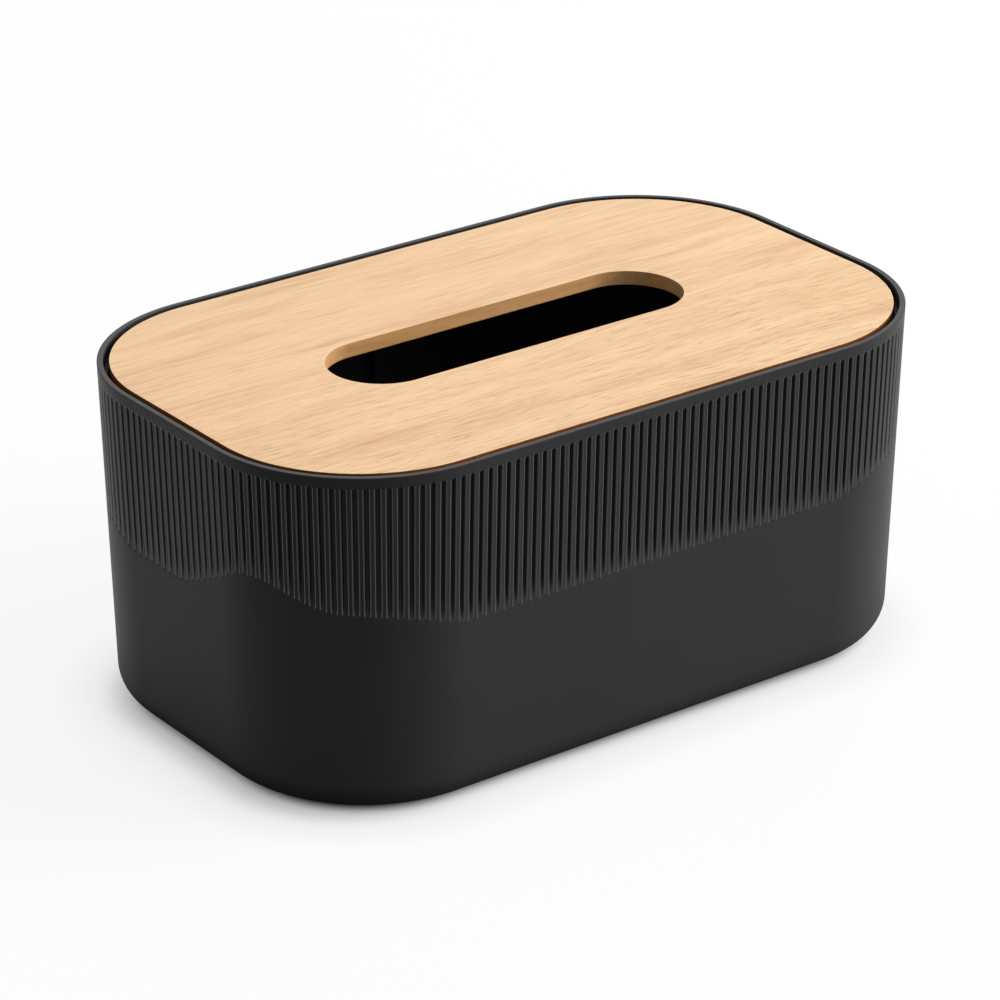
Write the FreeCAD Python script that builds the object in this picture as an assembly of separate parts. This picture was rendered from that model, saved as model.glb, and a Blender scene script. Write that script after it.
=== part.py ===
"""Tissue box: a moulded plastic tub with a fluted band and a wooden lid that lifts off.

Millimetres.  +X runs along the long side, +Y to the back, +Z up.  The origin is on the surface that the
box stands on, under the middle of the box.
"""
import FreeCAD, Part
import math
import os

Vector = FreeCAD.Vector
UP = Vector(0, 0, 1)
TURN = 360.0
QUARTER = 90.0
EIGHTH = 45.0
SIDES = (-1, 1)
CORNERS = ((1, 1), (-1, 1), (-1, -1), (1, -1))  # in order round the Z axis
SIDE_NAMES = {-1: "left", 1: "right"}
DEPTH_NAMES = {-1: "front", 1: "back"}

# Tub, outside
LENGTH = 260.0              # over the rim, along X
WIDTH = 161.0               # over the rim, along Y
SHELL_HEIGHT = 115.8        # from the tub's underside to the top of the rim
DRAFT_ANGLE = 1.5           # how far the walls lean in from upright, downwards, in degrees
CORNER_RADIUS = 55.0        # of the rim, seen from above
BASE_EDGE_RADIUS = 10.4     # rounding between the walls and the underside

# Tub, inside
WALL = 3.2                  # wall under the rim, measured level
FLOOR = 2.8                 # thickness of the floor
RIM_WIDTH = 2.3             # flat land round the lid
RIM_OUTER_ROUND = 0.6       # on the rim's outer edge

# Flutes
FLUTE_PITCH = 3.42          # wanted spacing along the rim; each straight and corner takes a whole number
FLUTE_DEPTH = 1.37          # below the leaning wall
FLUTE_MOUTH = 1.75          # width of a flute at the wall
FLUTE_FLOOR_WIDTH = 1.35    # width of its floor
FLUTE_TOP = 3.7             # plain band from the top of the rim to the flutes
FLUTE_END = 53.8            # from the top of the rim down to where the flutes of the straights end
FLUTE_RISE = 7.1            # how much higher they end in the middle of a corner
FLUTE_RUN_OUT = 14.0        # length over which a flute's floor curves out to the wall

# Lid
LID_THICKNESS = 4.8
LID_GAP = 1.4               # even gap between the lid's edge and the rim
LID_SINK = 0.2              # how far the lid's top lies below the rim
LID_EASE = 0.4              # bevel on the board's edges
SLOT_LENGTH = 135.7         # over the round ends
SLOT_WIDTH = 36.7

# Rests: upright ribs inside the walls that carry the lid
REST_THICKNESS = 2.0
REST_BEARING = 3.5          # how far the lid lies over each rest
REST_SPACING = 62.0         # between the rests of a long side

# Locating buttons under the lid
BUTTON_DIAMETER = 14.0
BUTTON_HEIGHT = 8.0
BUTTON_LEAD_IN = 2.0        # cone at its lower edge that guides the lid down
BUTTON_PLAY = 0.5           # between a button and the inside of the tub's corner
PEG_DIAMETER = 5.0          # of the button's peg, glued into the lid
PEG_LENGTH = 3.0
PEG_CLEARANCE = 0.1         # round the peg and at its end

# Foot pads
PAD_DIAMETER = 14.0
PAD_STAND = 0.8             # how far a pad stands out of the underside
PAD_RECESS = 1.0            # how deep it is let in
PAD_CLEARANCE = 0.15        # round the pad in its recess
PAD_EDGE = 0.3              # bevel on its lower edge
PAD_REACH = 24.0            # from the centre of the rim's corner arc out to the pad

# Heights that follow from these
UNDERSIDE = PAD_STAND
HEIGHT = UNDERSIDE + SHELL_HEIGHT
LEAN = math.tan(math.radians(DRAFT_ANGLE))  # inwards, for each millimetre down
FLOOR_TOP = UNDERSIDE + FLOOR
LID_TOP = HEIGHT - LID_SINK
LID_UNDERSIDE = LID_TOP - LID_THICKNESS
LID_INSET = RIM_WIDTH + LID_GAP
ABOVE = HEIGHT + 1.0        # clear of the rim, for cuts that are open at the top


def rounded_rectangle(length, width, radius, z):
    """Closed wire of four straight runs and four corner arcs round the Z axis, at height z."""
    corners = []
    for number, (side_x, side_y) in enumerate(CORNERS):
        centre = Vector(side_x * (length / 2 - radius), side_y * (width / 2 - radius), z)
        start = math.radians(number * QUARTER)
        corners.append(Part.Arc(Part.Circle(centre, UP, radius), start, start + math.radians(QUARTER)))
    edges = []
    for corner, following in zip(corners, corners[1:] + corners[:1]):
        edges.append(corner.toShape())
        edges.append(Part.LineSegment(corner.EndPoint, following.StartPoint).toShape())
    return Part.Wire(edges)


def heading(angle):
    """Level unit vector at an angle in degrees from +X."""
    return Vector(math.cos(math.radians(angle)), math.sin(math.radians(angle)), 0)


def prism(wire, height):
    """Solid raised from a closed level wire."""
    return Part.Face(wire).extrude(UP * height)


def edges_at(shape, z):
    """Edges of a shape that lie level at height z."""
    return [edge for edge in shape.Edges
            if abs(edge.BoundBox.ZMin - z) < 1e-4 and abs(edge.BoundBox.ZMax - z) < 1e-4]


def wall_margin(z):
    """How far the leaning outer wall lies inside the rim's outline at height z."""
    return (HEIGHT - z) * LEAN


def rim_outline(inset, z):
    """Outline parallel to the rim at an inset, for what stands upright."""
    return rounded_rectangle(LENGTH - 2 * inset, WIDTH - 2 * inset, CORNER_RADIUS - inset, z)


def leaning_solid(bottom, top, inset, bottom_radius):
    """Solid inside the leaning wall between two heights, with its lower edge rounded."""
    outlines = [rim_outline(wall_margin(z) + inset, z) for z in (bottom, top)]
    solid = Part.makeLoft(outlines, True, True)
    return solid.makeFillet(bottom_radius, edges_at(solid, bottom))


def flute_rise_at(turn):
    """How much higher a corner's flute ends than a straight's, at an angle from the end of its straight run."""
    cosine = math.cos(math.radians(turn))
    sine = math.sin(math.radians(turn))
    return FLUTE_RISE * (cosine + sine - 1) / (math.sqrt(2) - 1)


def flute_stations():
    """Yield the mouth, outward angle and lower end of every flute, run by run round the rim."""
    run_x = LENGTH / 2 - CORNER_RADIUS
    run_y = WIDTH / 2 - CORNER_RADIUS
    arc_length = math.radians(QUARTER) * CORNER_RADIUS
    end = HEIGHT - FLUTE_END
    for number, (side_x, side_y) in enumerate(CORNERS):
        start_angle = number * QUARTER
        centre = Vector(side_x * run_x, side_y * run_y, 0)
        count = round(arc_length / FLUTE_PITCH)
        for step in range(count):
            turn = QUARTER * (step + 0.5) / count
            out = start_angle + turn
            yield centre + CORNER_RADIUS * heading(out), out, end + flute_rise_at(turn)
        out = start_angle + QUARTER
        run = 2 * (run_x if side_x == side_y else run_y)
        along = heading(out + QUARTER)
        start = centre + CORNER_RADIUS * heading(out)
        count = round(run / FLUTE_PITCH)
        for step in range(count):
            yield start + along * (run * (step + 0.5) / count), out, end


def flute_cut(mouth, out, end):
    """Cut of one flute: a tapered channel down the leaning wall, whose floor curves out to the wall."""
    outward = heading(out)
    across = heading(out + QUARTER)
    beyond = 1.0
    half_floor = FLUTE_FLOOR_WIDTH / 2
    half_open = FLUTE_MOUTH / 2 + (FLUTE_MOUTH / 2 - half_floor) * beyond / FLUTE_DEPTH

    def on_wall(z):
        return mouth - outward * wall_margin(z) + UP * z

    def bar(half_inner, z, height):
        corners = [on_wall(z) + outward * reach + across * half for reach, half in (
            (-FLUTE_DEPTH, -half_inner), (beyond, -half_open), (beyond, half_open), (-FLUTE_DEPTH, half_inner))]
        section = Part.makePolygon(corners + corners[:1])
        return Part.Face(section).extrude((UP + outward * LEAN) * height)

    top = HEIGHT - FLUTE_TOP
    curve_start = end + FLUTE_RUN_OUT
    channel = bar(half_floor, end - FLUTE_RUN_OUT, top - end + FLUTE_RUN_OUT)
    straight = bar(half_open, curve_start, top - end)
    radius = (FLUTE_RUN_OUT ** 2 + FLUTE_DEPTH ** 2) / (2 * FLUTE_DEPTH)
    axis = on_wall(curve_start) + outward * (radius - FLUTE_DEPTH)
    roller = Part.makeCylinder(radius, 2 * half_open, axis - across * half_open, across)
    return channel.common(straight.fuse(roller)).removeSplitter()


def rest_cuts():
    """Blocks left out of the cavity, which leave the upright rests standing in the tub."""
    bearing = LID_INSET + REST_BEARING
    blocks = []
    for side in SIDES:
        for place in (-REST_SPACING, 0, REST_SPACING):
            corner = Vector(place - REST_THICKNESS / 2, min(side * WIDTH / 2, side * (WIDTH / 2 - bearing)), 0)
            blocks.append(Part.makeBox(REST_THICKNESS, bearing, ABOVE, corner))
        corner = Vector(min(side * LENGTH / 2, side * (LENGTH / 2 - bearing)), -REST_THICKNESS / 2, 0)
        blocks.append(Part.makeBox(bearing, REST_THICKNESS, ABOVE, corner))
    return blocks


def pad_places():
    """Yield the name and centre of each foot pad."""
    reach = PAD_REACH * math.cos(math.radians(EIGHTH))
    for side_y in SIDES:
        for side_x in SIDES:
            x = side_x * (LENGTH / 2 - CORNER_RADIUS + reach)
            y = side_y * (WIDTH / 2 - CORNER_RADIUS + reach)
            yield "foot_pad_%s_%s" % (DEPTH_NAMES[side_y], SIDE_NAMES[side_x]), Vector(x, y, 0)


def button_places():
    """Yield the name and centre of each locating button, each with its play to the tub's corner."""
    lowest = LID_UNDERSIDE - BUTTON_HEIGHT
    reach = CORNER_RADIUS - wall_margin(lowest) - WALL - BUTTON_PLAY - BUTTON_DIAMETER / 2
    offset = reach * math.cos(math.radians(EIGHTH))
    for side_y in SIDES:
        for side_x in SIDES:
            x = side_x * (LENGTH / 2 - CORNER_RADIUS + offset)
            y = side_y * (WIDTH / 2 - CORNER_RADIUS + offset)
            place = Vector(x, y, LID_UNDERSIDE)
            yield "lid_button_%s_%s" % (DEPTH_NAMES[side_y], SIDE_NAMES[side_x]), place


def body_shell():
    """The moulded tub: leaning walls, flutes, rim, lid recess, rests, floor and pad recesses."""
    body = leaning_solid(UNDERSIDE, HEIGHT, 0, BASE_EDGE_RADIUS)
    body = body.makeFillet(RIM_OUTER_ROUND, edges_at(body, HEIGHT))
    body = body.cut(Part.makeCompound([flute_cut(*station) for station in flute_stations()]))
    cavity = leaning_solid(FLOOR_TOP, ABOVE, WALL, BASE_EDGE_RADIUS - WALL)
    body = body.cut(cavity.cut(rest_cuts()))
    body = body.cut(prism(rim_outline(RIM_WIDTH, LID_UNDERSIDE), ABOVE - LID_UNDERSIDE))
    radius = PAD_DIAMETER / 2 + PAD_CLEARANCE
    pads = [Part.makeCylinder(radius, UNDERSIDE + PAD_RECESS, place) for _, place in pad_places()]
    return body.cut(pads)


def stadium(length, width, z):
    """Closed wire of two straight runs and two half circles, at height z."""
    run = (length - width) / 2
    half = width / 2
    corners = [Vector(side_x * run, side_y * half, z) for side_x, side_y in ((1, -1), (1, 1), (-1, 1), (-1, -1))]
    return Part.Wire([
        Part.Arc(corners[0], Vector(length / 2, 0, z), corners[1]).toShape(),
        Part.LineSegment(corners[1], corners[2]).toShape(),
        Part.Arc(corners[2], Vector(-length / 2, 0, z), corners[3]).toShape(),
        Part.LineSegment(corners[3], corners[0]).toShape()])


def lid_board():
    """The wooden board with its slot, eased edges and blind holes for the buttons' pegs."""
    board = prism(rim_outline(LID_INSET, LID_UNDERSIDE), LID_THICKNESS)
    board = board.cut(prism(stadium(SLOT_LENGTH, SLOT_WIDTH, LID_UNDERSIDE), LID_THICKNESS))
    board = board.makeChamfer(LID_EASE, edges_at(board, LID_TOP) + edges_at(board, LID_UNDERSIDE))
    radius = PEG_DIAMETER / 2 + PEG_CLEARANCE
    holes = [Part.makeCylinder(radius, PEG_LENGTH + PEG_CLEARANCE, place) for _, place in button_places()]
    return board.cut(holes)


def turned(profile, place):
    """Solid turned about an upright axis from (radius, height) points that start and end on the axis."""
    points = [Vector(radius, 0, height) for radius, height in profile + profile[:1]]
    solid = Part.Face(Part.makePolygon(points)).revolve(Vector(0, 0, 0), UP, TURN)
    solid.translate(place)
    return solid


def lid_button(place):
    """One locating button: a round block with a lead-in cone below and a peg above."""
    radius = BUTTON_DIAMETER / 2
    peg = PEG_DIAMETER / 2
    return turned([
        (0, -BUTTON_HEIGHT), (radius - BUTTON_LEAD_IN / 2, -BUTTON_HEIGHT),
        (radius, BUTTON_LEAD_IN - BUTTON_HEIGHT), (radius, 0), (peg, 0), (peg, PEG_LENGTH), (0, PEG_LENGTH)], place)


def foot_pad(place):
    """One anti-slip pad, against the roof of its recess."""
    pad = Part.makeCylinder(PAD_DIAMETER / 2, UNDERSIDE + PAD_RECESS, place)
    return pad.makeChamfer(PAD_EDGE, edges_at(pad, 0))


def save(name, shape):
    """Write one piece to its own file."""
    if not shape.isValid():
        raise ValueError("%s is not a valid solid" % name)
    shape.exportStep("parts/%s.step" % name)
    print("%-24s %9.2f mm3, %d faces, %d solid(s)" % (name, shape.Volume, len(shape.Faces), len(shape.Solids)))


os.makedirs("parts", exist_ok=True)
save("body_shell", body_shell())
save("lid_board", lid_board())
for button_name, button_place in button_places():
    save(button_name, lid_button(button_place))
for pad_name, pad_place in pad_places():
    save(pad_name, foot_pad(pad_place))
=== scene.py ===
"""Looks of a tissue box: a fluted charcoal tub, a light wooden lid, the studio and the camera.

Sizes are written in millimetres and turned to metres where a mesh is made.  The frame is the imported
model's: +X along the long side, +Y to the back, +Z up, with the origin on the floor under the middle
of the box.
"""

import logging
import math
from dataclasses import dataclass
from enum import Enum
from typing import Any, Iterable, Sequence

import bmesh
import bpy
import numpy as np
from mathutils import Matrix, Vector


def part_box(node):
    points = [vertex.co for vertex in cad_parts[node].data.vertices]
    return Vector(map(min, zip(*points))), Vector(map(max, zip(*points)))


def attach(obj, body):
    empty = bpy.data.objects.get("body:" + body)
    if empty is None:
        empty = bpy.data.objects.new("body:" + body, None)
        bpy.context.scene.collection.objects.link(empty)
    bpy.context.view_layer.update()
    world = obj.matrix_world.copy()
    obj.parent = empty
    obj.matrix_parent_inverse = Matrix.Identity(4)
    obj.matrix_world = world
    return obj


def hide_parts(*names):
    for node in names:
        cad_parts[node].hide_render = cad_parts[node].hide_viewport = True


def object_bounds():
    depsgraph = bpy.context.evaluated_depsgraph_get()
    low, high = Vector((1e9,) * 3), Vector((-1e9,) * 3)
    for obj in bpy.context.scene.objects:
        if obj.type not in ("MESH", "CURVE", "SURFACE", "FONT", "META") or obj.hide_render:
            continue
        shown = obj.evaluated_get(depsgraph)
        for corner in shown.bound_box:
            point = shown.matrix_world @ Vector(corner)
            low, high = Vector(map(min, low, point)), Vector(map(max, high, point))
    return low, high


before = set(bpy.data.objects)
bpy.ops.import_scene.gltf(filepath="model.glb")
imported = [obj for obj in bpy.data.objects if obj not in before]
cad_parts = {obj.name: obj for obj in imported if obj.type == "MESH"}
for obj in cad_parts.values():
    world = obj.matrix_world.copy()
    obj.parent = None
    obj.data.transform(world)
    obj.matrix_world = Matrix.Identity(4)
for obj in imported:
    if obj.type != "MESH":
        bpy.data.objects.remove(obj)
CAD_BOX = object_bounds()

MM = 0.001                      # metres in a millimetre
QUARTER = math.pi / 2           # radians in a quarter turn
MERGED = 1e-7                   # m between points that are one point
SHARP_ANGLE = 38.0              # degrees by which an edge turns where it stays sharp
CORNERS = ((1, 1), (-1, 1), (-1, -1), (1, -1))
LOG = logging.getLogger("tissue_box")

Row = tuple[np.ndarray, list[int]]


class Slot(Enum):
    """Material slots of the record."""

    TUB = "tub_plastic"
    LID = "lid_wood"
    BUTTON = "button_plastic"
    PAD = "pad_rubber"


class Body(Enum):
    """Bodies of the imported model."""

    TUB = "tub"
    LID = "lid"


def linear(colour: str) -> tuple[float, float, float, float]:
    """Turn an sRGB hex colour to linear values.

    Args:
        colour: The colour as six hex digits after a hash.

    Returns:
        Linear red, green and blue, and an alpha of one.
    """
    shares = [int(colour[start:start + 2], 16) / 255 for start in (1, 3, 5)]
    values = [share / 12.92 if share <= 0.04045 else ((share + 0.055) / 1.055) ** 2.4 for share in shares]
    return (*values, 1.0)


def add_node(
        tree: bpy.types.NodeTree, kind: str, inputs: dict[Any, Any] | None = None, **settings: Any
) -> bpy.types.Node:
    """Add a node with its settings, values and links.

    Args:
        tree: The node tree that gets the node.
        kind: Blender's name of the node's type, without the leading ShaderNode.
        inputs: For each socket's name or number, a value, or the output socket that feeds it.
        settings: Properties of the node.

    Returns:
        The new node.
    """
    made = tree.nodes.new("ShaderNode" + kind)
    for name, value in settings.items():
        setattr(made, name, value)
    for socket, value in (inputs or {}).items():
        if isinstance(value, bpy.types.NodeSocket):
            tree.links.new(value, made.inputs[socket])
        else:
            made.inputs[socket].default_value = value
    return made


def new_material(name: str) -> tuple[bpy.types.Material, bpy.types.NodeTree]:
    """Make an empty node material.

    Args:
        name: The material's name.

    Returns:
        The material and its node tree.
    """
    material = bpy.data.materials.new(name)
    material.use_nodes = True
    material.node_tree.nodes.clear()
    return material, material.node_tree


def set_stops(ramp: bpy.types.Node, stops: Sequence[tuple[float, str]]) -> None:
    """Give a colour ramp its stops.

    Args:
        ramp: The colour ramp node.
        stops: Each stop's place from 0 to 1 and its sRGB hex colour.
    """
    elements = ramp.color_ramp.elements
    while len(elements) < len(stops):
        elements.new(1.0)
    for element, (place, colour) in zip(elements, stops):
        element.position = place
        element.color = linear(colour)


def in_millimetres(
        tree: bpy.types.NodeTree, size: Sequence[float], socket: bpy.types.NodeSocket | None = None
) -> bpy.types.NodeSocket:
    """Scale the piece's own coordinates so that one unit is a given size.

    Args:
        tree: The node tree.
        size: What one unit measures along X, Y and Z, in millimetres.
        socket: Coordinates in metres; the piece's own if none are given.

    Returns:
        The socket with the scaled coordinates.
    """
    if socket is None:
        socket = add_node(tree, "TexCoord").outputs["Object"]
    scale = [1 / (side * MM) for side in size]
    return add_node(tree, "Mapping", {"Vector": socket, "Scale": scale}).outputs["Vector"]


@dataclass(frozen=True)
class MouldedPlastic:
    """Polypropylene, injection moulded.

    A spark-eroded mould leaves a fine even pitting, so that the plastic looks matt head on and takes a soft
    sheen where it is seen at a slant.  On narrow edges the mould is smoother, and they glint.
    """

    name: str
    colour: str
    cloud_colour: str
    roughness: float
    gloss: float
    grit: float = 0.5           # mm between the pits; real ones are finer, but would not show
    grit_depth: float = 0.012   # mm
    grit_strength: float = 0.6
    cloud: float = 38.0         # mm across one of the faint clouds that the flow of the melt leaves
    cloud_roughness: float = 0.03   # by which they make the plastic smoother or rougher

    def material(self) -> bpy.types.Material:
        """Make the material.

        Returns:
            The material.
        """
        material, tree = new_material(self.name)
        clouds = add_node(tree, "TexNoise", {
            "Vector": in_millimetres(tree, (self.cloud,) * 3), "Scale": 1.0, "Detail": 2.0})
        colour = add_node(tree, "ValToRGB", {"Fac": clouds.outputs["Fac"]})
        set_stops(colour, ((0.35, self.colour), (0.7, self.cloud_colour)))
        pits = add_node(tree, "TexNoise", {
            "Vector": in_millimetres(tree, (self.grit,) * 3), "Scale": 1.0, "Detail": 2.0})
        bump = add_node(tree, "Bump", {
            "Height": pits.outputs["Fac"], "Strength": self.grit_strength,
            "Distance": self.grit_depth * MM})
        rough = add_node(tree, "MapRange", {
            "Value": clouds.outputs["Fac"], "To Min": self.roughness - self.cloud_roughness,
            "To Max": self.roughness + self.cloud_roughness})
        shader = add_node(tree, "BsdfPrincipled", {
            "Base Color": colour.outputs["Color"], "Roughness": rough.outputs["Result"],
            "Specular IOR Level": self.gloss, "Normal": bump.outputs["Normal"]})
        add_node(tree, "OutputMaterial", {"Surface": shader.outputs["BSDF"]})
        return material


@dataclass(frozen=True)
class LacqueredWood:
    """Light hardwood board, planed, sanded and closed with a matt lacquer.

    The board is plain sawn, so that its growth rings show as long soft bands, with short darker pores along
    the grain.  Its upright faces are darkened by a tint: partly browner cut edges that drink more lacquer,
    partly painted shade, as of the narrow gap round the lid.
    """

    name: str = "plain sawn ash, matt lacquer"
    pale: str = "#FCD4A8"
    middle: str = "#F5CC9E"
    dark: str = "#E6B88C"
    pore: str = "#C48D5C"
    # darker tint of upright faces: partly browner cut edges, partly painted shade
    edge_tint_and_shade: str = "#7A5A40"
    band: float = 9.0           # mm across a growth band
    band_run: float = 90.0      # mm along it
    fibre: float = 1.5          # mm across a bundle of fibres
    fibre_run: float = 26.0     # mm along it
    fibre_share: float = 0.42   # of the tone that the fibres give, and the bands the rest
    pore_width: float = 0.65    # mm; real ones are half of this, but would not show
    pore_run: float = 8.5       # mm
    crowded: float = -70.0      # Y in mm where the pores show most
    crowded_depth: float = 0.7  # share of their own colour that they have there
    sparse: float = 40.0        # Y in mm where they show least
    sparse_depth: float = 0.2
    wander: float = 5.0         # mm that the grain wanders from straight
    wander_run: float = 80.0    # mm along the grain from one wander to the next
    relief: float = 0.02        # mm that the pores sink into the lacquer
    relief_strength: float = 0.25
    roughness: float = 0.6
    gloss: float = 0.25

    def material(self) -> bpy.types.Material:
        """Make the material.

        Returns:
            The material.
        """
        material, tree = new_material(self.name)
        place = add_node(tree, "TexCoord")
        waves = add_node(tree, "TexNoise", {
            "Vector": in_millimetres(tree, (self.wander_run, self.wander_run / 2, self.wander_run / 2)),
            "Scale": 1.0, "Detail": 1.0})
        shift = add_node(tree, "VectorMath", {
            0: waves.outputs["Color"], 1: (0.5, 0.5, 0.5)}, operation="SUBTRACT")
        shift = add_node(tree, "VectorMath", {
            0: shift.outputs["Vector"], 1: (0.0, 2 * self.wander * MM, 2 * self.wander * MM)},
            operation="MULTIPLY")
        grain = add_node(tree, "VectorMath", {
            0: place.outputs["Object"], 1: shift.outputs["Vector"]}, operation="ADD").outputs["Vector"]
        bands = add_node(tree, "TexNoise", {
            "Vector": in_millimetres(tree, (self.band_run, self.band, self.band), grain),
            "Scale": 1.0, "Detail": 3.0})
        fibres = add_node(tree, "TexNoise", {
            "Vector": in_millimetres(tree, (self.fibre_run, self.fibre, self.fibre), grain),
            "Scale": 1.0, "Detail": 2.0})
        pores = add_node(tree, "TexNoise", {
            "Vector": in_millimetres(tree, (self.pore_run, self.pore_width, self.pore_width), grain),
            "Scale": 1.0, "Detail": 1.0})
        tone = add_node(tree, "MixRGB", {
            "Fac": self.fibre_share, "Color1": bands.outputs["Fac"], "Color2": fibres.outputs["Fac"]})
        wood = add_node(tree, "ValToRGB", {"Fac": tone.outputs["Color"]})
        set_stops(wood, ((0.38, self.pale), (0.5, self.middle), (0.66, self.dark)))
        across = add_node(tree, "SeparateXYZ", {"Vector": place.outputs["Object"]})
        share = add_node(tree, "MapRange", {
            "Value": across.outputs["Y"], "From Min": self.crowded * MM, "From Max": self.sparse * MM,
            "To Min": self.crowded_depth, "To Max": self.sparse_depth})
        flecks = add_node(tree, "MapRange", {
            "Value": pores.outputs["Fac"], "From Min": 0.54, "From Max": 0.76,
            "To Max": share.outputs["Result"]})
        pored = add_node(tree, "MixRGB", {
            "Fac": flecks.outputs["Result"], "Color1": wood.outputs["Color"],
            "Color2": linear(self.pore)})
        # Upright faces take the edge tint: partly browner cut edge, partly painted shade.
        upright = add_node(tree, "SeparateXYZ", {"Vector": place.outputs["Normal"]})
        level = add_node(tree, "Math", {0: upright.outputs["Z"]}, operation="ABSOLUTE")
        edge = add_node(tree, "MapRange", {
            "Value": level.outputs["Value"], "From Min": 0.3, "From Max": 0.8,
            "To Min": 1.0, "To Max": 0.0})
        cut = add_node(tree, "MixRGB", {
            "Fac": edge.outputs["Result"], "Color1": pored.outputs["Color"],
            "Color2": linear(self.edge_tint_and_shade)}, blend_type="MULTIPLY")
        bump = add_node(tree, "Bump", {
            "Height": pores.outputs["Fac"], "Strength": self.relief_strength, "Distance": self.relief * MM})
        shader = add_node(tree, "BsdfPrincipled", {
            "Base Color": cut.outputs["Color"], "Roughness": self.roughness,
            "Specular IOR Level": self.gloss, "Normal": bump.outputs["Normal"]})
        add_node(tree, "OutputMaterial", {"Surface": shader.outputs["BSDF"]})
        return material


@dataclass(frozen=True)
class MattRubber:
    """Die-cut synthetic rubber: dark, dull and finely grained."""

    name: str = "synthetic rubber, die cut"
    colour: str = "#1C1C1D"
    grain: float = 0.6          # mm
    relief: float = 0.05        # mm
    relief_strength: float = 0.5
    roughness: float = 0.85

    def material(self) -> bpy.types.Material:
        """Make the material.

        Returns:
            The material.
        """
        material, tree = new_material(self.name)
        grain = add_node(tree, "TexNoise", {
            "Vector": in_millimetres(tree, (self.grain,) * 3), "Scale": 1.0})
        bump = add_node(tree, "Bump", {
            "Height": grain.outputs["Fac"], "Strength": self.relief_strength, "Distance": self.relief * MM})
        shader = add_node(tree, "BsdfPrincipled", {
            "Base Color": linear(self.colour), "Roughness": self.roughness,
            "Normal": bump.outputs["Normal"]})
        add_node(tree, "OutputMaterial", {"Surface": shader.outputs["BSDF"]})
        return material


@dataclass(frozen=True)
class Outline:
    """Rounded rectangle round the Z axis, in millimetres.

    A place on it is a distance along, anticlockwise from above, from the +X end of the back right corner.
    """

    length: float
    width: float
    radius: float

    def stretches(self) -> list[tuple[float, float, bool]]:
        """Divide the outline into its corners and straight runs.

        Returns:
            Each one's start and length, in order, and whether it is a corner.
        """
        arc = QUARTER * self.radius
        runs = (self.length - 2 * self.radius, self.width - 2 * self.radius)
        found = []
        start = 0.0
        for number in range(4):
            for size, corner in ((arc, True), (runs[number % 2], False)):
                found.append((start, size, corner))
                start += size
        return found

    def place(self, along: np.ndarray, inset: np.ndarray, height: np.ndarray) -> np.ndarray:
        """Find points beside the outline.

        Args:
            along: Distances along the outline.
            inset: How far inside the outline each point lies.
            height: The points' heights.

        Returns:
            One row of X, Y and Z for each point, in millimetres.
        """
        centres = np.array(CORNERS) * (self.length / 2 - self.radius, self.width / 2 - self.radius)
        points = np.zeros((len(along), 3))
        for index, (start, size, corner) in enumerate(self.stretches()):
            number = index // 2
            inside = (along >= start) & (along < start + size)
            beyond = along[inside] - start
            if corner:
                angle = number * QUARTER + beyond / self.radius
                on_run = np.zeros(len(beyond))
            else:
                angle = np.full(len(beyond), (number + 1) * QUARTER)
                on_run = beyond
            out = np.stack([np.cos(angle), np.sin(angle)], axis=1)
            ahead = np.stack([-np.sin(angle), np.cos(angle)], axis=1)
            reach = self.radius - inset[inside]
            points[inside, :2] = centres[number] + out * reach[:, None] + ahead * on_run[:, None]
        points[:, 2] = height
        return points


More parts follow.
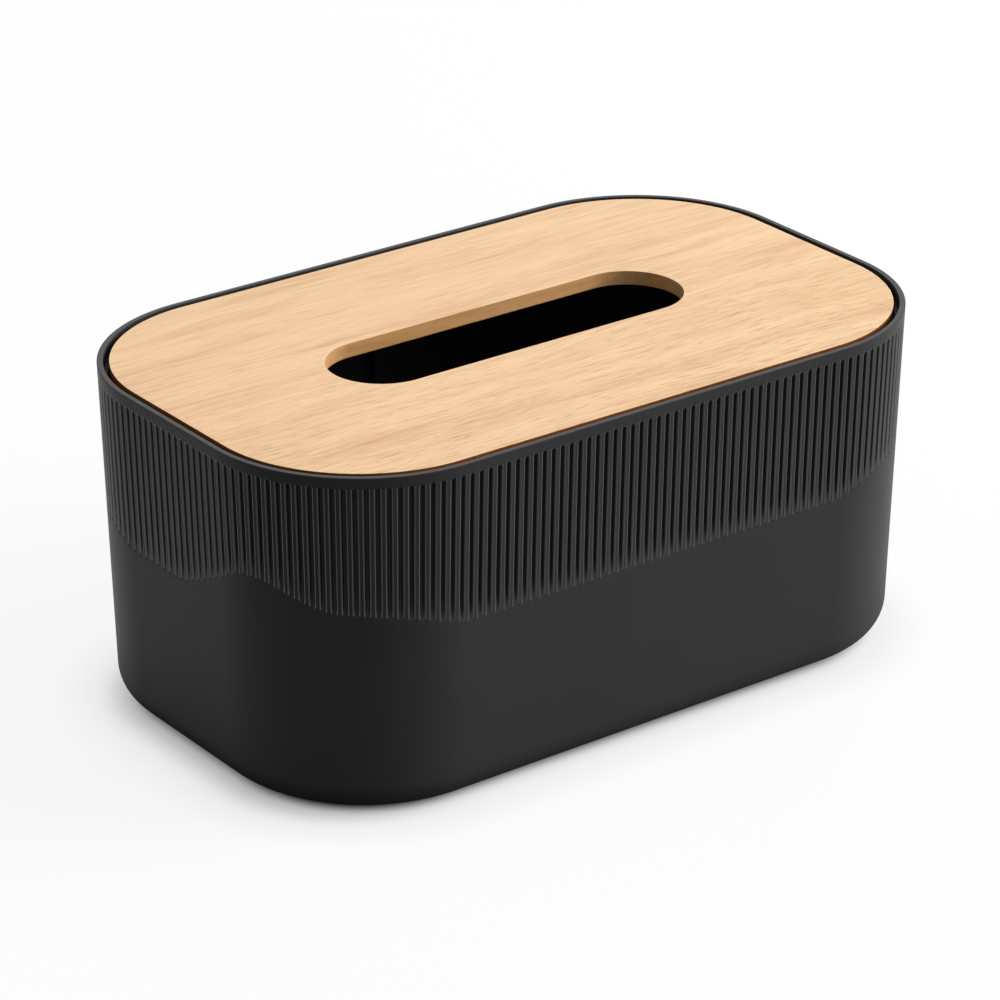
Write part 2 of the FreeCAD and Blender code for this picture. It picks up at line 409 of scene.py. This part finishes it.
class Skin:
    """A closed mesh that is put together from rows of points, in millimetres.

    Faces with all their points in `edges` get the piece's second material.
    """

    def __init__(self) -> None:
        """Start with no points and no faces."""
        self.points: list[np.ndarray] = []
        self.count = 0
        self.faces: list[tuple[int, ...]] = []
        self.fills: list[list[list[int]]] = []
        self.edges: set[int] = set()

    def row(self, along: np.ndarray, points: np.ndarray) -> Row:
        """Add a closed row of points.

        Args:
            along: Where each point lies along the row, in rising order.
            points: The points.

        Returns:
            The row.
        """
        self.points.append(points)
        first = self.count
        self.count += len(points)
        return along, list(range(first, self.count))

    def bridge(self, lower: Row, upper: Row) -> None:
        """Join two rows with faces, also where they have different numbers of points.

        Args:
            lower: The row that comes first on the way up the outside.
            upper: The row that comes next.
        """
        places_low, low = lower
        places_up, up = upper
        if len(low) == len(up):
            for index in range(len(low)):
                following = (index + 1) % len(low)
                self.faces.append((low[index], low[following], up[following], up[index]))
            return
        at_low = at_up = 0
        while at_low < len(low) or at_up < len(up):
            next_low = places_low[at_low + 1] if at_low + 1 < len(low) else math.inf
            next_up = places_up[at_up + 1] if at_up + 1 < len(up) else math.inf
            if at_up >= len(up) or (at_low < len(low) and next_low <= next_up):
                self.faces.append((low[at_low], low[(at_low + 1) % len(low)], up[at_up % len(up)]))
                at_low += 1
            else:
                self.faces.append((low[at_low % len(low)], up[(at_up + 1) % len(up)], up[at_up]))
                at_up += 1

    def disc_walls(
            self, centre: tuple[float, float], radius: float, mouth: float, end: float, sides: int = 48
    ) -> Row:
        """Add a blind round hole's wall and end.

        Args:
            centre: X and Y of its middle.
            radius: The hole's radius.
            mouth: Height of its mouth.
            end: Height of its end.
            sides: Number of sides.

        Returns:
            The row round the mouth.
        """
        turn = np.arange(sides) / sides
        angle = 4 * QUARTER * turn
        ring = np.stack([np.cos(angle), np.sin(angle)], axis=1) * radius + np.array(centre)
        rows = [self.row(turn, np.column_stack([ring, np.full(sides, height)])) for height in (mouth, end)]
        self.bridge(rows[1], rows[0])
        self.faces.append(tuple(rows[1][1]))
        return rows[0]

    def fill(self, *rows: Row) -> None:
        """Close a level face that is bounded by rows; all but the outermost are holes in it."""
        self.fills.append([row[1] for row in rows])

    def piece(self, name: str) -> bpy.types.Object:
        """Make the mesh.

        Args:
            name: The object's name.

        Returns:
            The object, in metres.
        """
        form = bmesh.new()
        corners = [form.verts.new(point) for point in np.concatenate(self.points) * MM]
        for face in self.faces:
            made = form.faces.new([corners[index] for index in face])
            made.material_index = int(self.edges.issuperset(face))
        for loops in self.fills:
            edges = []
            for loop in loops:
                for index, corner in enumerate(loop):
                    pair = (corners[corner], corners[loop[(index + 1) % len(loop)]])
                    edges.append(form.edges.get(pair) or form.edges.new(pair))
            bmesh.ops.triangle_fill(form, use_beauty=True, edges=edges)
        bmesh.ops.remove_doubles(form, verts=form.verts, dist=MERGED)
        bmesh.ops.dissolve_degenerate(form, edges=form.edges, dist=MERGED)
        bmesh.ops.recalc_face_normals(form, faces=form.faces)
        mesh = bpy.data.meshes.new(name)
        form.to_mesh(mesh)
        form.free()
        mesh.shade_smooth()
        mesh.set_sharp_from_angle(angle=math.radians(SHARP_ANGLE))
        made = bpy.data.objects.new(name, mesh)
        bpy.context.scene.collection.objects.link(made)
        weighted = made.modifiers.new("even shading", "WEIGHTED_NORMAL")
        weighted.keep_sharp = True
        return made


def arc_steps(radius: float, steps: int, first: float = 0.0) -> Iterable[tuple[float, float]]:
    """Give points of a quarter circle as pairs of what is left to its side tangent and to its end tangent.

    Args:
        radius: The circle's radius.
        steps: Number of chords.
        first: Angle in radians at which the arc starts.

    Yields:
        The distance from the side tangent and the distance travelled towards the end tangent.
    """
    for step in range(steps + 1):
        angle = first + (QUARTER - first) * step / steps
        yield radius * (1 - math.cos(angle)), radius * math.sin(angle)


@dataclass
class Tub:
    """The moulded tub with its fluted band, and the pads that it stands on."""

    corner_radius: float = 55.0
    draft: float = math.radians(1.5)
    wall: float = 3.2
    floor: float = 2.8
    rim_width: float = 2.0
    rim_outer_round: float = 0.3
    rim_inner_round: float = 0.25
    base_round: float = 10.4
    recess_depth: float = 5.0       # from the rim down to the rests
    flute_pitch: float = 3.42
    flute_depth: float = 1.37
    flute_floor: float = 1.0        # width of a flute's flat floor
    flute_slant: float = math.radians(12)   # of its sides
    flute_top: float = 3.7          # from the rim down to its upper end
    flute_crown: float = 0.25       # how much lower that end lies at its sides than in its middle
    flute_end: float = 53.8         # from the rim down to where the flutes of the straights end
    flute_rise: float = 7.1         # how much higher they end in the middle of a corner
    flute_run_out: float = 12.0     # over which a flute's floor curves out to the wall
    shoulder_round: float = 0.65    # of the ribs between the flutes
    shoulder_turn: float = math.radians(70)
    shoulder_steps: int = 7
    glint_start: float = 0.06   # share of the run-out that the smooth mould edges leave out
    crest_rise: float = 11.8    # how much higher still the flutes end where they are shortest
    crest_reach: float = 37.0   # from the shortest flute to those that have their full length again
    crest_place: float = 9.4    # from the left end's straight to the shortest flute, in the front corner
    rest_thickness: float = 2.0
    rest_reach: float = 7.2     # from the rim's outline in to a rest's edge
    rest_spacing: float = 62.0
    pad_recess: float = 1.0
    pad_clearance: float = 0.15
    # Matt and even, with hardly a reflection head on.
    finish: MouldedPlastic = MouldedPlastic(
        "polypropylene, spark-eroded texture", "#303030", "#323232", roughness=0.48, gloss=0.10)
    # The ribs' shoulders, where the mould's narrow edges stay smooth: they draw thin light lines.
    edge_finish: MouldedPlastic = MouldedPlastic(
        "polypropylene, smooth mould edges", "#303030", "#323232", roughness=0.26, gloss=1.0)

    def __post_init__(self) -> None:
        """Take the overall size from the frame."""
        low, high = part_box("body_shell")
        self.underside = low.z / MM
        self.height = high.z / MM
        self.outline = Outline((high.x - low.x) / MM, (high.y - low.y) / MM, self.corner_radius)
        self.lean = math.tan(self.draft)
        self.pads = [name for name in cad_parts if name.startswith("foot_pad")]

    def margin(self, height: np.ndarray | float) -> np.ndarray | float:
        """Give how far the leaning wall lies inside the rim's outline at a height."""
        return (self.height - height) * self.lean

    def footprint(self) -> Outline:
        """Work out the outline of the wall's foot.

        Returns:
            The outline at the height where the base starts to round in.
        """
        inset = self.margin(self.underside + self.base_round)
        length, width = self.outline.length - 2 * inset, self.outline.width - 2 * inset
        return Outline(length, width, self.corner_radius - inset)

    def flute_ends(self, along: np.ndarray) -> np.ndarray:
        """Give the heights at which the flutes end: higher round the corners, highest at the front left.

        Args:
            along: Distances along the rim.

        Returns:
            The heights.
        """
        ends = np.full(len(along), self.height - self.flute_end)
        for start, size, corner in self.outline.stretches():
            inside = (along >= start) & (along < start + size) & corner
            angle = (along[inside] - start) / self.corner_radius
            ends[inside] += self.flute_rise * (np.cos(angle) + np.sin(angle) - 1) / (math.sqrt(2) - 1)
        front_left = self.outline.stretches()[4][0]
        off = np.clip((along - front_left - self.crest_place) / self.crest_reach, -1, 1)
        return ends + self.crest_rise * np.cos(QUARTER * off) ** 2

    def shoulder_place(self, step: int) -> tuple[float, float]:
        """Give how far a step of a shoulder's arc lies from the rib's flat: along the wall, and into it."""
        angle = self.shoulder_turn * step / self.shoulder_steps
        return self.shoulder_round * math.sin(angle), self.shoulder_round * (1 - math.cos(angle))

    def flute_columns(self) -> tuple[np.ndarray, np.ndarray, np.ndarray, np.ndarray]:
        """Lay out the columns of points across the flutes.

        Returns:
            Each column's distance along the rim, its distance from the middle of its flute, the depth at
            which the rib's side meets it, measured from the wall, and a flag for the columns on a rib's
            shoulder.  Over a flute's floor that depth is more than the flute's own, which then holds.
        """
        half_floor = self.flute_floor / 2
        shoulder_drop = self.shoulder_round * (1 - math.cos(self.shoulder_turn))
        foot = half_floor + (self.flute_depth - shoulder_drop) * math.tan(self.flute_slant)
        crest = foot + self.shoulder_round * math.sin(self.shoulder_turn)
        open_depth = self.flute_depth * 2
        side = [(half_floor * 0.85, open_depth), (half_floor, self.flute_depth)]
        for step in range(self.shoulder_steps, -1, -1):
            back, drop = self.shoulder_place(step)
            side.append((crest - back, drop))
        across = [(-reach, depth) for reach, depth in reversed(side)] + [(0.0, open_depth)] + side
        shoulders = [False] + [0 < depth < self.flute_depth for _, depth in across]
        along, middles, depths, flags = [], [], [], []
        for start, size, _ in self.outline.stretches():
            count = round(size / self.flute_pitch)
            for number in range(count):
                pitch = size / count
                middle = start + pitch * (number + 0.5)
                for reach, depth in [(-pitch / 2, 0.0)] + across:
                    along.append(middle + reach)
                    middles.append(abs(reach))
                    depths.append(depth)
                flags.extend(shoulders)
        return np.array(along), np.array(middles), np.array(depths), np.array(flags)

    def coarse_columns(self) -> np.ndarray:
        """Lay out the columns of points where there are no flutes: two to a flute.

        Returns:
            The distances along the rim.
        """
        places = []
        for start, size, _ in self.outline.stretches():
            count = 2 * round(size / self.flute_pitch)
            places.extend(start + size * np.arange(count) / count)
        return np.array(places)

    def inner_columns(self) -> tuple[np.ndarray, np.ndarray]:
        """Lay out the columns inside the tub, with a double column at each edge of a rest.

        Returns:
            The distances along the rim, and a flag for the columns that lie on a rest.
        """
        step, clear = 1e-6, 0.3     # within a double column, and from it to the next one
        half = self.rest_thickness / 2
        columns = [(place, False) for place in self.coarse_columns()]
        for index, (start, size, corner) in enumerate(self.outline.stretches()):
            if corner:
                continue
            offsets = (-self.rest_spacing, 0.0, self.rest_spacing) if index % 4 == 1 else (0.0,)
            for offset in offsets:
                middle = start + size / 2 + offset
                columns = [column for column in columns if abs(column[0] - middle) > half + clear]
                first, last = middle - half, middle + half
                columns += [(first - step, False), (first, True), (last, True), (last + step, False)]
        columns.sort()
        return np.array([column[0] for column in columns]), np.array([column[1] for column in columns])

    def outer_rows(self, skin: Skin) -> list[Row]:
        """Add the rows from the base's edge up the outside to the rim's land.

        Args:
            skin: The mesh that gets them.

        Returns:
            The rows, lowest first.
        """
        coarse = self.coarse_columns()
        rows = []

        def level(inset: float, height: float) -> None:
            """Add a level row without flutes."""
            ones = np.ones(len(coarse))
            rows.append(skin.row(coarse, self.outline.place(coarse, inset * ones, height * ones)))

        base_top = self.underside + self.base_round * (1 - math.sin(self.draft))
        steps = list(arc_steps(self.base_round, 14, self.draft))
        base_inset = self.margin(base_top) - steps[0][0]
        for back, down in reversed(steps):
            level(base_inset + back, self.underside + self.base_round - down)
        along, middles, side_depth, shoulders = self.flute_columns()
        run_out = self.flute_ends(along)
        plain = float(run_out.min()) - 2.0      # the last plain row, 2 mm under the lowest flute
        level(self.margin(plain), plain)

        def fluted(height: np.ndarray, share: float) -> None:
            """Add a row across the flutes.

            Args:
                height: The height of each of its points.
                share: The share of the flutes' depth that they have there.
            """
            left = np.clip(1 - (height - run_out) / self.flute_run_out, 0, 1)
            depth = np.minimum(side_depth, self.flute_depth * (1 - left ** 2)) * share
            rows.append(skin.row(along, self.outline.place(along, self.margin(height) + depth, height)))
            if np.all(height - run_out >= self.glint_start * self.flute_run_out):
                skin.edges.update(np.array(rows[-1][1])[shoulders].tolist())

        for way in (0.0, 0.03, 0.07, 0.13, 0.2, 0.3, 0.42, 0.56, 0.72, 0.88, 1.0):
            fluted(run_out + way * self.flute_run_out, 1.0)
        top = self.height - self.flute_top - self.flute_crown * np.clip(middles, 0, 1) ** 2
        for rise, share in ((-0.15, 1.0), (-0.06, 0.8), (0.0, 0.3), (0.1, 0.06), (0.3, 0.0)):
            fluted(top + rise, share)
        for back, up in arc_steps(self.rim_outer_round, 5):
            height = self.height - self.rim_outer_round + up
            level(self.margin(self.height - self.rim_outer_round) + back, height)
        return rows

    def inner_rows(self, skin: Skin) -> list[Row]:
        """Add the rows from the rim's land down the inside to the floor.

        Args:
            skin: The mesh that gets them.

        Returns:
            The rows, highest first.
        """
        along, on_rest = self.inner_columns()
        ledge = self.height - self.recess_depth
        inner_round = self.base_round - self.wall
        floor_top = self.underside + self.floor
        bottom = floor_top + inner_round * (1 - math.sin(self.draft))
        profile = [(self.rim_width - back, self.height - self.rim_inner_round + up)
                   for back, up in arc_steps(self.rim_inner_round, 4)][::-1]
        profile += [(self.rim_width, ledge), (self.wall + self.margin(ledge), ledge)]
        steps = list(arc_steps(inner_round, 9, self.draft))
        base_inset = self.wall + self.margin(bottom) - steps[0][0]
        profile += [(base_inset + back, floor_top + inner_round - down) for back, down in steps]
        rows = []
        for index, (inset, height) in enumerate(profile):
            insets = np.full(len(along), inset)
            if height <= ledge and inset > self.rim_width:
                insets = np.where(on_rest, np.maximum(insets, self.rest_reach), insets)
            rows.append(skin.row(along, self.outline.place(along, insets, np.full(len(along), height))))
        return rows

    def build(self) -> bpy.types.Object:
        """Make the tub's mesh and dress it.

        Returns:
            The tub.
        """
        skin = Skin()
        outer = self.outer_rows(skin)
        inner = self.inner_rows(skin)
        rows = outer + inner
        for lower, upper in zip(rows, rows[1:]):
            skin.bridge(lower, upper)
        recesses = []
        for name in self.pads:
            low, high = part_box(name)
            middle = (low + high) / 2 / MM
            radius = (high.x - low.x) / 2 / MM + self.pad_clearance
            roof = self.underside + self.pad_recess
            recesses.append(skin.disc_walls((middle.x, middle.y), radius, self.underside, roof))
        skin.fill(outer[0], *recesses)
        skin.fill(inner[-1])
        tub = skin.piece("moulded_tub")
        for finish in (self.finish, self.edge_finish):
            tub.data.materials.append(finish.material())
        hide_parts("body_shell")
        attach(tub, Body.TUB.value)
        return tub

    def dress_pads(self) -> None:
        """Give the foot pads their rubber."""
        rubber = MattRubber().material()
        for name in self.pads:
            dress(name, rubber)


@dataclass
class Lid:
    """The wooden lid with its slot, and the buttons that locate it in the tub."""

    corner_radius: float = 51.05
    shrinkage: float = 0.25     # of the board, on each side
    swelling: float = 0.1       # of its thickness
    edge_round: float = 0.15
    slot_length: float = 135.7
    slot_width: float = 36.7
    peg_hole_radius: float = 2.6
    peg_hole_depth: float = 3.1
    corner_steps: int = 40      # chords in each corner, the slot's too
    chord: float = 20.0         # at most, along a straight run
    finish: LacqueredWood = LacqueredWood()
    # Routed after lacquering and sanded; its wall is lighter than the outer edge, whose tint is partly
    # painted shade.
    slot_finish: LacqueredWood = LacqueredWood(name="ash, routed and sanded edge", edge_tint_and_shade="#BEAF97")
    # Polished mould: smooth, with a soft shine.
    button_finish: MouldedPlastic = MouldedPlastic(
        "polypropylene, smooth moulded", "#1C1C1C", "#1E1E1E", roughness=0.42, gloss=0.3)

    def __post_init__(self) -> None:
        """Take the board's size and height from the frame."""
        low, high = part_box("lid_board")
        self.bottom = low.z / MM
        self.top = high.z / MM + self.swelling
        length, width = ((high[axis] - low[axis]) / MM - 2 * self.shrinkage for axis in (0, 1))
        self.outline = Outline(length, width, self.corner_radius)
        self.slot = Outline(self.slot_length, self.slot_width, self.slot_width / 2)
        self.buttons = [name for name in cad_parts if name.startswith("lid_button")]

    def edge_rows(self, skin: Skin, outline: Outline, side: int) -> list[Row]:
        """Add the rows of one of the board's edges.

        Args:
            skin: The mesh that gets them.
            outline: The edge's outline.
            side: 1 for the board's outer edge, -1 for the slot's.

        Returns:
            The rows, lowest first.
        """
        along = []
        for start, size, corner in outline.stretches():
            count = self.corner_steps if corner else math.ceil(size / self.chord)
            along.extend(start + size * np.arange(count) / count if size > MERGED else [])
        places = np.array(along)
        ones = np.ones(len(places))
        arc = list(arc_steps(self.edge_round, 4))
        lower = [(back, self.bottom + self.edge_round - down) for back, down in arc]
        upper = [(back, self.top - self.edge_round + up) for back, up in arc]
        return [skin.row(places, outline.place(places, side * inset * ones, height * ones))
                for inset, height in lower[::-1] + upper]

    def build(self) -> bpy.types.Object:
        """Make the board's mesh and dress it.

        Returns:
            The board.
        """
        skin = Skin()
        outer = self.edge_rows(skin, self.outline, 1)
        slot = self.edge_rows(skin, self.slot, -1)
        skin.edges = {point for row in slot for point in row[1]}
        for rows in (outer, slot):
            for lower, upper in zip(rows, rows[1:]):
                skin.bridge(lower, upper)
        holes = []
        for name in self.buttons:
            low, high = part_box(name)
            middle = (low + high) / 2 / MM
            end = self.bottom + self.peg_hole_depth
            hole = skin.disc_walls((middle.x, middle.y), self.peg_hole_radius, self.bottom, end, sides=32)
            holes.append(hole)
        skin.fill(outer[-1], slot[-1])
        skin.fill(outer[0], slot[0], *holes)
        board = skin.piece("wooden_lid")
        for finish in (self.finish, self.slot_finish):
            board.data.materials.append(finish.material())
        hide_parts("lid_board")
        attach(board, Body.LID.value)
        return board

    def dress_buttons(self) -> None:
        """Give the locating buttons their plastic."""
        plastic = self.button_finish.material()
        for name in self.buttons:
            dress(name, plastic)


def dress(name: str, material: bpy.types.Material) -> None:
    """Give a CAD node its material.

    Args:
        name: The node's name.
        material: The material.
    """
    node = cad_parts[name]
    if not node.material_slots:
        node.data.materials.append(material)
    for holder in node.material_slots:
        holder.material = material


def outwards(azimuth: float, elevation: float) -> Vector:
    """Give the unit vector at an azimuth anticlockwise from +X and an elevation, both in degrees."""
    turn, rise = math.radians(azimuth), math.radians(elevation)
    return Vector((math.cos(turn) * math.cos(rise), math.sin(turn) * math.cos(rise), math.sin(rise)))


def aimed(place: Vector, back: Vector) -> Matrix:
    """Give the matrix of a lamp or camera at a place with its back turned a given way, held level."""
    return Matrix.Translation(place) @ back.to_track_quat("Z", "Y").to_matrix().to_4x4()


@dataclass(frozen=True)
class Softbox:
    """A square lamp behind diffusing cloth.

    Its level is the brightness that it alone gives to a white sheet that faces it beside the box.
    """

    name: str
    azimuth: float              # degrees from +X, anticlockwise
    elevation: float            # degrees
    distance: float             # m
    size: float                 # m
    level: float
    colour: str = "#FFFFFF"
    mirrored: bool = False      # whether glossy surfaces show it

    def place(self, target: Vector) -> bpy.types.Object:
        """Hang the lamp.

        Args:
            target: What it points at.

        Returns:
            The lamp.
        """
        lamp = bpy.data.lights.new(self.name, "AREA")
        lamp.shape = "SQUARE"
        lamp.size = self.size
        lamp.energy = self.level * (math.pi * self.distance) ** 2
        lamp.color = linear(self.colour)[:3]
        made = bpy.data.objects.new(self.name, lamp)
        made.visible_glossy = self.mirrored
        back = outwards(self.azimuth, self.elevation)
        made.matrix_world = aimed(target + back * self.distance, back)
        bpy.context.scene.collection.objects.link(made)
        return made


@dataclass(frozen=True)
class FootShade:
    """Painted shadow: soft darkening of the floor's glow round the foot, in mm from the foot's outline."""

    start: float                # where it is darkest
    end: float                  # where it has faded out
    depth: float                # share of white that it takes away
    shift: float                # how far it reaches to the left of the box's middle

    def add(self, tree: bpy.types.NodeTree, foot: Outline) -> bpy.types.NodeSocket:
        """Add the nodes that work it out.

        Args:
            tree: The floor's node tree.
            foot: The outline of the foot.

        Returns:
            A socket with minus the share of white that goes.
        """
        half = ((foot.length / 2 - foot.radius) * MM, (foot.width / 2 - foot.radius) * MM, 0.0)
        place = add_node(tree, "VectorMath", {
            0: add_node(tree, "TexCoord").outputs["Object"], 1: (self.shift * MM, 0.0, 0.0)},
            operation="ADD")
        place = add_node(tree, "VectorMath", {0: place.outputs["Vector"]}, operation="ABSOLUTE")
        past = add_node(tree, "VectorMath", {0: place.outputs["Vector"], 1: half}, operation="SUBTRACT")
        past = add_node(tree, "VectorMath", {
            0: past.outputs["Vector"], 1: (0.0, 0.0, 0.0)}, operation="MAXIMUM")
        gap = add_node(tree, "VectorMath", {0: past.outputs["Vector"]}, operation="LENGTH")
        painted_fade = add_node(tree, "MapRange", {
            "Value": gap.outputs["Value"], "From Min": (foot.radius + self.start) * MM,
            "From Max": (foot.radius + self.end) * MM, "To Min": -self.depth, "To Max": 0.0},
            interpolation_type="SMOOTHSTEP")
        return painted_fade.outputs["Result"]


@dataclass
class Studio:
    """White floor and surroundings, lamps and camera."""

    target: Vector
    footprint: Outline
    floor_size: float = 8.0         # m
    floor_colour: str = "#616161"
    floor_glow: float = 0.88        # what the floor shows of its own, so that it looks white
    # painted shadows taken off the floor's glow round the foot of the box
    shades: tuple[FootShade, ...] = (
        FootShade(-8.0, 22.0, 0.135, 3.0),
        FootShade(-10.0, -2.5, 0.38, 0.0),
        FootShade(-14.0, 2.0, 0.36, 7.0),
    )
    # painted shade in the floor's glow, seen only in reflections
    mirrored_shade: FootShade = FootShade(-10.0, 45.0, 0.6, 0.0)    # only in what the box reflects
    # painted shade on the floor's glow, seen only in reflections: darker towards this side
    dim_azimuth: float = 233.0  # degrees from +X to the floor's dim side, which only reflections show
    dim_reach: float = 0.3      # m from the box's middle to where the floor is dimmest
    dim_depth: float = 0.65     # share of white that it loses there
    backdrop: float = 1.0       # brightness of the surroundings as seen, where 1 is white
    ambient: float = 0.22       # brightness at which they light the box
    softboxes: tuple[Softbox, ...] = (
        Softbox("right_softbox", 0, 22, 4.0, 2.33, 0.12),
        Softbox("right_front_softbox", 335, 22, 4.0, 2.33, 1.02),
        Softbox("front_right_softbox", 315, 22, 4.0, 2.33, 0.53),
        Softbox("front_left_softbox", 225, 22, 4.0, 2.33, 0.11),
        Softbox("back_left_softbox", 135, 22, 4.0, 2.33, 0.10),
        Softbox("back_softbox", 53, 26, 4.0, 2.33, 0.2, mirrored=True),
    )
    camera_azimuth: float = 233.180     # degrees from +X, anticlockwise
    camera_elevation: float = 24.602    # degrees
    camera_distance: float = 1.114072   # m
    camera_aim: tuple[float, float, float] = (-0.147613, -0.193019, 0.165872)   # m
    camera_lens: float = 151.303        # mm
    camera_sensor: float = 36.0         # mm

    def build_floor(self) -> bpy.types.Object:
        """Lay the white floor, darkened by the foot of the box by real shadow and painted shadow.

        Returns:
            The floor.
        """
        corners = [(x * self.floor_size / 2, y * self.floor_size / 2, 0) for x, y in CORNERS]
        mesh = bpy.data.meshes.new("floor")
        mesh.from_pydata(corners, [], [range(4)])
        floor = bpy.data.objects.new("floor", mesh)
        bpy.context.scene.collection.objects.link(floor)
        material, tree = new_material("white paper sweep")
        path = add_node(tree, "LightPath")
        # Painted shade seen only in reflections: near the foot, and towards the dim side.
        mirrored = add_node(tree, "Math", {
            0: self.mirrored_shade.add(tree, self.footprint), 1: self.painted_dim_side(tree)}, operation="ADD")
        mirrored = add_node(tree, "Math", {
            0: mirrored.outputs["Value"], 1: path.outputs["Is Glossy Ray"]}, operation="MULTIPLY")
        painted_fade = add_node(tree, "Math", {0: mirrored.outputs["Value"], 1: self.floor_glow}, operation="ADD")
        # Painted shadows round the foot, taken off the glow.
        for shade in self.shades:
            painted_fade = add_node(tree, "Math", {
                0: painted_fade.outputs["Value"], 1: shade.add(tree, self.footprint)}, operation="ADD")
        painted_fade = add_node(tree, "Math", {0: painted_fade.outputs["Value"], 1: 0.0}, operation="MAXIMUM")
        diffuse = add_node(tree, "BsdfDiffuse", {"Color": linear(self.floor_colour)})
        glow = add_node(tree, "Emission", {"Color": linear("#FFFFFF"), "Strength": painted_fade.outputs["Value"]})
        both = add_node(tree, "AddShader", {0: diffuse.outputs["BSDF"], 1: glow.outputs["Emission"]})
        mixed = add_node(tree, "MixShader", {
            "Fac": self.seen_directly(tree), 1: diffuse.outputs["BSDF"], 2: both.outputs["Shader"]})
        add_node(tree, "OutputMaterial", {"Surface": mixed.outputs["Shader"]})
        floor.data.materials.append(material)
        return floor

    def painted_dim_side(self, tree: bpy.types.NodeTree) -> bpy.types.NodeSocket:
        """Add the painted shade on the floor's glow towards its dim side, which only reflections show.

        Args:
            tree: The floor's node tree.

        Returns:
            A socket with minus the share of white that goes.
        """
        out = add_node(tree, "VectorMath", {
            0: add_node(tree, "TexCoord").outputs["Object"], 1: outwards(self.dim_azimuth, 0)},
            operation="DOT_PRODUCT")
        painted_fade = add_node(tree, "MapRange", {
            "Value": out.outputs["Value"], "From Min": 0.0, "From Max": self.dim_reach,
            "To Min": 0.0, "To Max": -self.dim_depth}, interpolation_type="SMOOTHSTEP")
        return painted_fade.outputs["Result"]

    @staticmethod
    def seen_directly(tree: bpy.types.NodeTree) -> bpy.types.NodeSocket:
        """Add the test for rays from the camera, mirrors and glass.

        Args:
            tree: The node tree.

        Returns:
            A socket that is one for such rays and zero for those that light a dull surface.
        """
        path = add_node(tree, "LightPath")
        seen = add_node(tree, "Math", {
            0: path.outputs["Is Camera Ray"], 1: path.outputs["Is Glossy Ray"]}, operation="MAXIMUM")
        seen = add_node(tree, "Math", {
            0: seen.outputs["Value"], 1: path.outputs["Is Transmission Ray"]}, operation="MAXIMUM")
        return seen.outputs["Value"]

    def build_world(self) -> None:
        """Surround the studio with white that lights the box at the ambient level."""
        world = bpy.data.worlds.new("white surroundings")
        bpy.context.scene.world = world
        world.use_nodes = True
        tree = world.node_tree
        tree.nodes.clear()
        strength = add_node(tree, "MapRange", {
            "Value": self.seen_directly(tree), "To Min": self.ambient, "To Max": self.backdrop})
        glow = add_node(tree, "Background", {
            "Color": linear("#FFFFFF"), "Strength": strength.outputs["Result"]})
        add_node(tree, "OutputWorld", {"Surface": glow.outputs["Background"]})

    def build_camera(self) -> bpy.types.Object:
        """Stand the camera at its place, level from side to side.

        Returns:
            The camera.
        """
        lens = bpy.data.cameras.new("camera")
        lens.lens = self.camera_lens
        lens.sensor_width = self.camera_sensor
        camera = bpy.data.objects.new("camera", lens)
        back = outwards(self.camera_azimuth, self.camera_elevation)
        camera.matrix_world = aimed(Vector(self.camera_aim) + back * self.camera_distance, back)
        bpy.context.scene.collection.objects.link(camera)
        bpy.context.scene.camera = camera
        return camera

    def build(self) -> None:
        """Set up the whole studio."""
        self.build_floor()
        self.build_world()
        for softbox in self.softboxes:
            softbox.place(self.target)
        self.build_camera()
        bpy.context.scene.view_settings.view_transform = "Standard"


def main() -> None:
    """Build the pieces in order and report each one."""
    logging.basicConfig(level=logging.INFO, format="%(name)s: %(message)s")
    tub = Tub()
    lid = Lid()
    for piece in (tub.build(), lid.build()):
        LOG.info("%s: %d faces", piece.name, len(piece.data.polygons))
    tub.dress_pads()
    lid.dress_buttons()
    for name in tub.pads + lid.buttons:
        LOG.info("%s: material %s", name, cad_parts[name].material_slots[0].material.name)
    low, high = CAD_BOX
    Studio(target=(Vector(low) + Vector(high)) / 2, footprint=tub.footprint()).build()


if __name__ == "__main__":
    main()
